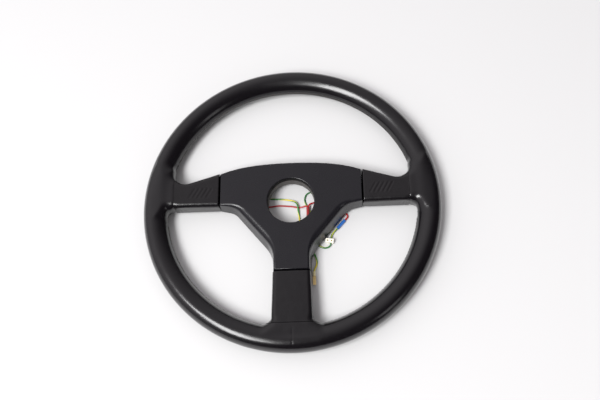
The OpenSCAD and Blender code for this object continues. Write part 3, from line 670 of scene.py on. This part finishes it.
# distance to the whole leather skin: the round grip, with the three spokes flowing into it
def skinDistance(p):
    size = wheelSize
    x, y, z = p[:, 0], p[:, 1], p[:, 2]
    grip = np.hypot(np.hypot(x, y) - size["rimR"], z - size["rimH"]) - size["gripR"]
    skin = grip.copy()
    start, run = size["blendGrow"]
    # the back blends less, so that it stays above the table
    share = size["backBlend"] + (1 - size["backBlend"]) * np.clip((z - start) / run, 0, 1)
    side, low = besideSpokes(x, y, spokeReach["from"])
    if side.any():
        out = np.abs(x[side])
        cushion = cushionDistance(out, y[side], z[side], sideOutline, out)
        skin[side] = smoothLower(grip[side], cushion, size["blend"] * share[side])
    if low.any():
        cushion = cushionDistance(x[low], y[low], z[low], lowOutline, -y[low])
        skin[low] = smoothLower(grip[low], cushion, size["lowBlend"] * share[low])
    return skin


# slow unevenness of the hide
def hideLumps(p, scale, amount):
    return amount * np.array([noise.noise(Vector(q) * scale) for q in p])


# small folds where the hide is gathered round the spokes' lower corners
gatherLook = {
    "spots": ((151.5, -13.0), (-151.5, -13.0), (33.5, -149.5), (-33.5, -149.5)),
    "clear": 8.0, "reach": 7.0, "level": 12.0, "spread": 7.0, "count": 26, "lean": 0.06, "height": 0.32,
}


def gathers(p):
    look = gatherLook
    level = np.exp(-((p[:, 2] - look["level"]) / look["spread"]) ** 2)
    total = np.zeros(len(p))
    for spotX, spotY in look["spots"]:
        dx, dy = p[:, 0] - spotX, p[:, 1] - spotY
        far = np.maximum(np.hypot(dx, dy) - look["clear"], 0)
        fold = np.cos(np.arctan2(dy, dx) * look["count"] + look["lean"] * p[:, 2])
        total += look["height"] * np.exp(-(far / look["reach"]) ** 2) * level * fold
    return total


# rim leather: a spun grip whose inner side swells into the spokes and is cut at their seams
rimSkin = {
    "around": 96, "crowd": 0.45, "stepAngle": 0.4,
    "farthest": 38.0, "tries": 60, "stride": 0.8, "spare": 2.5,  # of the search for the skin near a spoke
    "plainOver": 1.6, "plainShare": 0.98, "evenTimes": 7, "restZ": 0.03,
    "lumps": ((0.045, 0.07), (0.16, 0.018)),  # scale and height
    "joinDepth": 0.55, "joinHalf": 1.3, "pucker": 0.25, "lipHeight": 0.22, "lipOff": 2.6, "lipHalf": 1.2,
    "sideButt": 0.015, "lowButt": 0.1, "buttHalf": 0.7, "seamHalf": 0.5, "seamSteps": (0.35, 0.8),
}

# seams between the spokes' covers and the rim: a point, the way towards the axis, the crease's depth, and the
# stretch of x and y that the cut may touch
outX, lowY = wheelSize["seamX"], wheelSize["lowSeamY"]
seams = [
    {"spot": (outX, 0, 0), "way": (-1, 0, 0), "sink": 0.06, "zone": (120, 152, -45, 54.5)},
    {"spot": (-outX, 0, 0), "way": (1, 0, 0), "sink": 0.06, "zone": (-152, -120, -45, 54.5)},
    {"spot": (0, lowY, 0), "way": (0, 1, 0), "sink": 0.22, "zone": (-35.5, 35.5, -159, -120)},
]


def inZone(p, zone):
    return zone is None or (zone[0] < p.x < zone[1] and zone[2] < p.y < zone[3])


# sinks the skin on each side of a seam
def seamCreases(bm, creases):
    half = rimSkin["seamHalf"]
    bm.normal_update()
    moves = []
    for v in bm.verts:
        for spot, way, sink, zone in creases:
            near = abs((v.co - Vector(spot)).dot(Vector(way)))
            if near < half * 4 and inZone(v.co, zone):
                moves.append((v, v.normal * sink * math.exp(-(near / half) ** 2)))
    for v, move in moves:
        v.co -= move


# closes open ends with flat faces whose rims stay sharp
def capEnds(bm):
    made = bmesh.ops.holes_fill(bm, edges=[e for e in bm.edges if e.is_boundary])["faces"]
    for face in made:
        for e in face.edges:
            e.smooth = False


def evenOut(bm, verts, times=1):
    for _ in range(times):
        bmesh.ops.smooth_vert(
            bm, verts=verts, factor=0.5, use_axis_x=True, use_axis_y=True, use_axis_z=True)


def shifted(plane, step):
    spot, way = plane
    return tuple(a + b * step for a, b in zip(spot, way)), way


def cutAt(bm, spot, way, clear, zone=None):
    faces = [f for f in bm.faces if inZone(f.calc_center_median(), zone)]
    edges = {e for f in faces for e in f.edges}
    verts = {v for f in faces for v in f.verts}
    bmesh.ops.bisect_plane(
        bm, geom=[*verts, *edges, *faces], dist=1e-5, plane_co=spot, plane_no=way, clear_outer=clear)


# cuts the skin off at a seam, and parts it just inside, so that the crease has points to sink
def cutSeam(bm, spot, way, zone=None):
    cutAt(bm, spot, way, True, zone)
    for step in rimSkin["seamSteps"]:
        cutAt(bm, *shifted((spot, way), -step), False, zone)


# one stretch of the round grip
def spunGrip(start, stop):
    size, look = wheelSize, rimSkin
    bm = bmesh.new()
    ring = bmesh.ops.create_circle(bm, cap_ends=False, segments=look["around"], radius=1.0)["verts"]
    turn = math.radians(start)
    for v in ring:
        w = math.atan2(v.co.y, v.co.x)
        w = w + look["crowd"] * math.sin(w)  # crowds the points at the inner side, where the seam is
        r = size["rimR"] + size["gripR"] * math.cos(w)
        v.co = (r * math.cos(turn), r * math.sin(turn), size["rimH"] + size["gripR"] * math.sin(w))
    steps = max(1, round((stop - start) / look["stepAngle"]))
    bmesh.ops.spin(bm, geom=bm.verts[:] + bm.edges[:], cent=(0, 0, 0), axis=(0, 0, 1),
                   angle=math.radians(stop - start), steps=steps, use_merge=False)
    return bm


# how far the skin lies from the middle of the grip: looked for from outside where a spoke may meet it
def skinReach(spots, centre, away, phi):
    size, look = wheelSize, rimSkin
    reach = np.full(len(spots), size["gripR"])
    side, low = besideSpokes(spots[:, 0], spots[:, 1], spokeReach["rimFrom"])
    near = np.where((np.cos(phi) < 0.5) & (side | low))[0]  # all round but the outer side
    reach[near] = look["farthest"]
    for _ in range(look["tries"]):
        p = centre[near] + away[near] * reach[near, None]
        pastLow = p[:, 1] - size["lowSeamY"] - look["spare"]
        pastSide = size["seamX"] - look["spare"] - np.abs(p[:, 0])
        gap = np.maximum(skinDistance(p), np.where(p[:, 1] < -spokeReach["from"], pastLow, pastSide))
        reach[near] = np.maximum(reach[near] - gap * look["stride"], size["gripR"])
    return reach


# the join along the inner edge: a puckered groove between two lips
def joinRelief(theta, phi):
    size, look = wheelSize, rimSkin
    inner = np.abs(np.abs(phi) - math.pi) * size["gripR"]  # distance from the inner edge, along the skin
    along = theta * (size["rimR"] - size["gripR"])
    pucker = 1 - look["pucker"] + look["pucker"] * np.cos(2 * math.pi * along / size["stitchPitch"])
    groove = look["joinDepth"] * pucker * np.exp(-(inner / look["joinHalf"]) ** 2)
    return look["lipHeight"] * np.exp(-((inner - look["lipOff"]) / look["lipHalf"]) ** 2) - groove


def makeRimPanel(name, start, stop, solid, buttSinks):
    size, look = wheelSize, rimSkin
    bm = spunGrip(start, stop)
    spots = np.array([v.co for v in bm.verts])
    theta = np.arctan2(spots[:, 1], spots[:, 0])
    flatWay = np.stack([np.cos(theta), np.sin(theta), np.zeros(theta.shape)], 1)
    centre = flatWay * size["rimR"] + np.array([0, 0, size["rimH"]])
    away = (spots - centre) / size["gripR"]
    phi = np.arctan2(away[:, 2], (away * flatWay).sum(1))
    reach = skinReach(spots, centre, away, phi)
    plain = 1 - eased(reach, size["gripR"], look["plainOver"])  # 1 on the round grip, 0 where it swells
    reach = reach + plain * joinRelief(theta, phi)
    for end, sink in zip((start, stop), buttSinks):
        run = np.abs((theta - math.radians(end) + math.pi) % (2 * math.pi) - math.pi) * size["rimR"]
        reach = reach - sink * np.exp(-(run / look["buttHalf"]) ** 2)
    placed = centre + away * reach[:, None]
    for scale, amount in look["lumps"]:
        reach = reach + hideLumps(placed, scale, amount)
    placed = centre + away * (reach + gathers(placed))[:, None]
    offset = ((placed - centre) * flatWay).sum(1) / size["gripR"]
    lean = size["crest"] * np.maximum(0, 1 - offset ** 2) * (placed[:, 2] > size["rimH"])
    placed += flatWay * lean[:, None]
    for v, q in zip(bm.verts, placed):
        v.co = q
    swollen = [v for v, share in zip(bm.verts, plain) if share < look["plainShare"] and not v.is_boundary]
    evenOut(bm, swollen, look["evenTimes"])
    for v in bm.verts:
        v.co.z = max(v.co.z, look["restZ"])  # pressed flat where it lies on the table
    capEnds(bm)
    creases = []
    for seam in seams:
        if any(inZone(f.calc_center_median(), seam["zone"]) for f in bm.faces):
            cutSeam(bm, seam["spot"], seam["way"], seam["zone"])
            creases.append((seam["spot"], seam["way"], seam["sink"], seam["zone"]))
    bmesh.ops.recalc_face_normals(bm, faces=bm.faces)
    seamCreases(bm, creases)
    capEnds(bm)
    bmesh.ops.recalc_face_normals(bm, faces=bm.faces)
    bmesh.ops.scale(bm, vec=(mm, mm, mm), verts=bm.verts)
    piece = pieceFrom(name, bm, rimLeather)
    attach(piece, "wheel")
    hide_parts(solid)


# the three panels butt together below the side spokes and in the middle of the lower one
joint, sideButt, lowButt = wheelSize["jointAngle"], rimSkin["sideButt"], rimSkin["lowButt"]
makeRimPanel("rimLeatherTop", -joint, 180 + joint, "rim_leather_top", (sideButt, sideButt))
makeRimPanel("rimLeatherLeft", 180 + joint, 270, "rim_leather_left", (sideButt, lowButt))
makeRimPanel("rimLeatherRight", -90, -joint, "rim_leather_right", (lowButt, sideButt))
print("stage: rim leather")


# cross stitches along the inner edge, where the two edges of the hide meet
stitchLook = {
    "arcs": ((19.0, 161.0), (190.0, 256.0), (284.0, 350.0)), "spread": 1.9, "sunk": 0.15, "rise": 0.85,
    "over": 0.12, "thread": 0.36, "thinEnd": 0.75, "sides": 5, "bends": 4,
    "wander": 0.18, "wanderScale": 0.21,
}


# one thread: a tube along a bent line that three points guide, thinner where it enters the hide
def stitchThread(bm, a, b, c):
    look = stitchLook
    rings = []
    for i in range(look["bends"] + 1):
        t = i / look["bends"]
        p = a * (1 - t) ** 2 + b * 2 * t * (1 - t) + c * t * t
        way = ((b - a) * (1 - t) + (c - b) * t).normalized()
        side = way.cross(Vector((1, 0, 0))).normalized()
        thick = look["thread"] * (look["thinEnd"] if i in (0, look["bends"]) else 1)
        ring = bmesh.ops.create_circle(bm, cap_ends=False, segments=look["sides"], radius=thick)["verts"]
        turn = Matrix((side, side.cross(way), way)).transposed().to_4x4()
        bmesh.ops.transform(bm, matrix=Matrix.Translation(p) @ turn, verts=ring)
        rings.append({e for v in ring for e in v.link_edges})
    for one, two in zip(rings, rings[1:]):
        bmesh.ops.bridge_loops(bm, edges=list(one | two))


# one crossed pair of threads, on the inner edge of the grip
def stitchPair():
    look, size = stitchLook, wheelSize
    inner = size["rimR"] - size["gripR"]
    half = size["stitchPitch"] / 2
    bm = bmesh.new()
    for lift in (-1, 1):
        a = Vector((inner + look["sunk"], -half, size["rimH"] - lift * look["spread"]))
        b = Vector((inner - look["rise"] - look["over"] * lift, 0, size["rimH"]))
        c = Vector((inner + look["sunk"], half, size["rimH"] + lift * look["spread"]))
        stitchThread(bm, a, b, c)
    return bm


def makeStitches():
    look, size = stitchLook, wheelSize
    inner = size["rimR"] - size["gripR"]
    bm = bmesh.new()
    for first, last in look["arcs"]:
        row = stitchPair()
        count = int(math.radians(last - first) * inner / size["stitchPitch"])
        turn = Matrix.Rotation(math.radians(first), 3, "Z")
        bmesh.ops.rotate(row, cent=(0, 0, 0), matrix=turn, verts=row.verts)
        bmesh.ops.spin(row, geom=row.verts[:] + row.edges[:] + row.faces[:], cent=(0, 0, 0), axis=(0, 0, 1),
                       angle=math.radians(last - first), steps=count, use_duplicate=True)
        held = bpy.data.meshes.new("stitchHold")
        row.to_mesh(held)
        row.free()
        bm.from_mesh(held)
        bpy.data.meshes.remove(held)
    for v in bm.verts:
        v.co = (v.co + noise.noise_vector(v.co * look["wanderScale"]) * look["wander"]) * mm
    bmesh.ops.recalc_face_normals(bm, faces=bm.faces)
    piece = pieceFrom("rimStitching", bm, threadLook)
    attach(piece, "wheel")


makeStitches()
print("stage: stitching")


# wings: firm padding under leather, from the pad's end to the seam beside the rim
wingLook = {
    "voxel": 0.9, "endRound": 1.0, "endLean": 1.2, "leanTop": 23, "leanRun": 5, "spare": 2.5, "rounds": 3,
    "lumps": ((0.0, 0.11, 0.1), (7.0, 0.35, 0.03)), "swell": 0.25, "swellY": 16, "swellHalf": 24,
    "grooves": 5, "grooveStep": 5.5, "grooveHalf": 7.8, "grooveWidth": 0.95, "grooveDepth": 0.26,
    "grooveTurn": 60.0, "grooveX": 115.0, "grooveY": 13.0, "lipHeight": 0.05, "lipOff": 2.1, "lipHalf": 0.8,
}


# the planes of a wing's two ends: beside the pad, and at the seam
def wingEnds(side):
    size = wheelSize
    if side == 0:
        return ((0, -size["padEnd"], 0), (0, 1, 0)), ((0, size["lowSeamY"], 0), (0, -1, 0))
    return ((size["padEnd"], 0, 0), (-1, 0, 0)), ((size["seamX"], 0, 0), (1, 0, 0))


# the outline drawn up to the cushion's height and cut off at both ends
def wingBlock(outline, ends):
    size = wheelSize
    bm = bmesh.new()
    bm.faces.new([bm.verts.new((p.x, p.y, size["wingBack"])) for p in outline])
    raised = bmesh.ops.extrude_face_region(bm, geom=bm.faces[:])["geom"]
    bmesh.ops.translate(bm, vec=(0, 0, size["wingTop"] + size["wingRise"] - size["wingBack"]),
                        verts=[g for g in raised if isinstance(g, bmesh.types.BMVert)])
    for spot, way in ends:
        cutAt(bm, spot, way, True)
        bmesh.ops.holes_fill(bm, edges=[e for e in bm.edges if e.is_boundary])
    bmesh.ops.recalc_face_normals(bm, faces=bm.faces)
    bmesh.ops.scale(bm, vec=(mm, mm, mm), verts=bm.verts)
    return bm


# small even faces all over a closed block
def evenMesh(piece, voxel):
    remesh = piece.modifiers.new("even", "REMESH")
    remesh.mode = "VOXEL"
    remesh.voxel_size = voxel
    bpy.context.view_layer.update()
    even = bpy.data.meshes.new_from_object(piece.evaluated_get(bpy.context.evaluated_depsgraph_get()))
    piece.modifiers.clear()
    piece.data = even
    return even


def beyond(p, plane):
    spot, way = plane
    return (p - np.array(spot)) @ np.array(way, float)


# distance to a wing's skin: its end is rounded, and the hide's tuck closes the joint further down
def wingGap(p, padEnd, spare):
    look = wingLook
    lean = look["endLean"] * np.clip((look["leanTop"] - p[:, 2]) / look["leanRun"], 0, 1)
    gap = smoothUpper(skinDistance(p), beyond(p, padEnd) - lean, look["endRound"])
    return np.maximum(gap, beyond(p, spare))


# draws points onto the wing's skin, and gives the way out of the skin at each
def settle(p, padEnd, spare, times=3, stride=0.9, tiny=0.05, flattest=0.3):
    for _ in range(times):
        gap = wingGap(p, padEnd, spare)
        rises = [wingGap(p + step, padEnd, spare) - wingGap(p - step, padEnd, spare)
                 for step in np.eye(3) * tiny]
        slope = np.stack(rises, 1) / (2 * tiny)
        slope /= np.maximum(np.linalg.norm(slope, axis=1), flattest)[:, None]
        p = p - slope * gap[:, None] * stride
    return p, slope


# slanted grooves pressed into a side wing, which lean the same way on both sides of the wheel
def thumbGrooves(spots, up, side):
    look = wingLook
    turn = math.radians(look["grooveTurn"] if side > 0 else 180 - look["grooveTurn"])
    total = np.zeros(len(spots))
    for i in range(look["grooves"]):
        gx = spots[:, 0] - look["grooveX"] - (i - (look["grooves"] - 1) / 2) * look["grooveStep"]
        gy = spots[:, 1] - look["grooveY"]
        along = gx * math.cos(turn) + gy * math.sin(turn)
        across = -gx * math.sin(turn) + gy * math.cos(turn)
        past = np.maximum(np.abs(along) - look["grooveHalf"] + look["grooveWidth"], 0)
        near = np.hypot(past, across)
        total -= look["grooveDepth"] * up ** 2 * np.exp(-(near / look["grooveWidth"]) ** 2)
        total += look["lipHeight"] * up ** 2 * np.exp(-((near - look["lipOff"]) / look["lipHalf"]) ** 2)
    return total


# how far the finished hide stands out: lumps, gathers, a soft crown and, on a side wing, the grooves
def wingRelief(spots, slope, side):
    look = wingLook
    up = np.clip(slope[:, 2], 0, 1)
    mirrored = spots * np.array([-1.0 if side < 0 else 1.0, 1.0, 1.0])
    relief = gathers(spots)
    for shift, scale, amount in look["lumps"]:
        relief += hideLumps(mirrored + shift, scale, amount)
    if side == 0:
        across = spots[:, 0]
    else:
        relief += thumbGrooves(spots, up, side)
        across = spots[:, 1] - look["swellY"]
    return relief + look["swell"] * up * np.cos(np.clip(across / look["swellHalf"], -1, 1) * math.pi / 2)


# side is 1 for the right wing, 0 for the lower one and -1 for the left one, made as a right one and mirrored
def makeWing(name, outline, side, solid):
    look = wingLook
    padEnd, seam = wingEnds(side)
    spare = shifted(seam, look["spare"])
    block = wingBlock(outline, (shifted(padEnd, look["endLean"]), spare))
    cover = pieceFrom(name, block, wingLeather)
    even = evenMesh(cover, look["voxel"] * mm)
    bm = bmesh.new()
    bm.from_mesh(even)
    spots = np.array([v.co for v in bm.verts]) / mm
    for _ in range(look["rounds"]):
        spots, slope = settle(spots, padEnd, spare)
        for v, q in zip(bm.verts, spots):
            v.co = q
        evenOut(bm, bm.verts)
        spots = np.array([v.co for v in bm.verts])
    spots, slope = settle(spots, padEnd, spare)
    spots = spots + slope * wingRelief(spots, slope, side)[:, None]
    for v, q in zip(bm.verts, spots):
        v.co = q
    cutSeam(bm, *seam)
    bmesh.ops.recalc_face_normals(bm, faces=bm.faces)
    seamCreases(bm, [(*seam, seams[2 if side == 0 else 0]["sink"], None)])
    capEnds(bm)
    bmesh.ops.scale(bm, vec=(-mm if side < 0 else mm, mm, mm), verts=bm.verts)
    bmesh.ops.recalc_face_normals(bm, faces=bm.faces)
    bm.to_mesh(even)
    bm.free()
    even.polygons.foreach_set("use_smooth", [True] * len(even.polygons))
    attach(cover, "wheel")
    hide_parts(solid)


makeWing("wingCoverRight", sideOutline, 1, "wing_right")
makeWing("wingCoverLeft", sideOutline, -1, "wing_left")
makeWing("wingCoverBottom", lowOutline, 0, "wing_bottom")
print("stage: wings")


# the solids whose shape is right: a merged copy carries the finish, so that round faces look round
def dress(solid, material, sharp=32.0, ridesOn=True):
    bm = bmesh.new()
    bm.from_mesh(cadNodes[solid].data)
    bmesh.ops.remove_doubles(bm, verts=bm.verts, dist=2e-6)
    for e in bm.edges:
        e.smooth = len(e.link_faces) == 2 and e.calc_face_angle(0.0) < math.radians(sharp)
    piece = pieceFrom(solid + "Finish", bm, material)
    even = piece.modifiers.new("flatFaces", "WEIGHTED_NORMAL")
    even.keep_sharp = True
    even.weight = 80
    if ridesOn:
        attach(piece, cadNodes[solid]["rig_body"])
    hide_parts(solid)
    return piece


# springs: a merged copy of each coil, left where it stands and tied to no moving body
for solidName in ("spring_left", "spring_right", "spring_bottom"):
    spring = dress(solidName, springSteel, ridesOn=False)
    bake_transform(spring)

# centre pad; the faces of its lip wall inside the button hole get a darker, duller copy of its plastic:
# painted shade
padSize = {"wallR": 33.5, "wallSteep": 0.35, "sharp": 40.0}
padShell = dress("centre_pad", padPlastic, sharp=padSize["sharp"])
padShell.data.materials.append(padShadeWall)
for face in padShell.data.polygons:
    if math.hypot(*face.center[:2]) < padSize["wallR"] * mm and abs(face.normal.z) < padSize["wallSteep"]:
        face.material_index = 1

for solidName, finish in (
    ("hub_plate", platePaint), ("button_ring", ringPlastic), ("ring_screws", zincSteel),
    ("guide_screws", zincSteel), ("insulator_left", laminate), ("insulator_right", laminate),
    ("contact_left", brass), ("contact_right", brass), ("earth_tag_left", brass), ("earth_tag_right", brass),
    ("earth_screws", zincSteel), ("pad_plate", zincPlate), ("pad_screws", zincSteel),
    ("pad_contact_left", brass), ("pad_contact_right", brass),
):
    dress(solidName, finish)

# pieces that show as their solids are
for solidName, finish in (
    ("rim_ring", rimSteel), ("rim_foam", rimFoam), ("splice_sleeve", spliceSkin),
    ("connector_housing", ivoryPlastic), ("connector_contacts", brass), ("blue_sleeve", bluePlastic),
    ("spade_terminal", brass), ("spade_sleeve", clearSleeve),
):
    cadNodes[solidName].data.materials.clear()
    cadNodes[solidName].data.materials.append(finish)
print("stage: finishes")
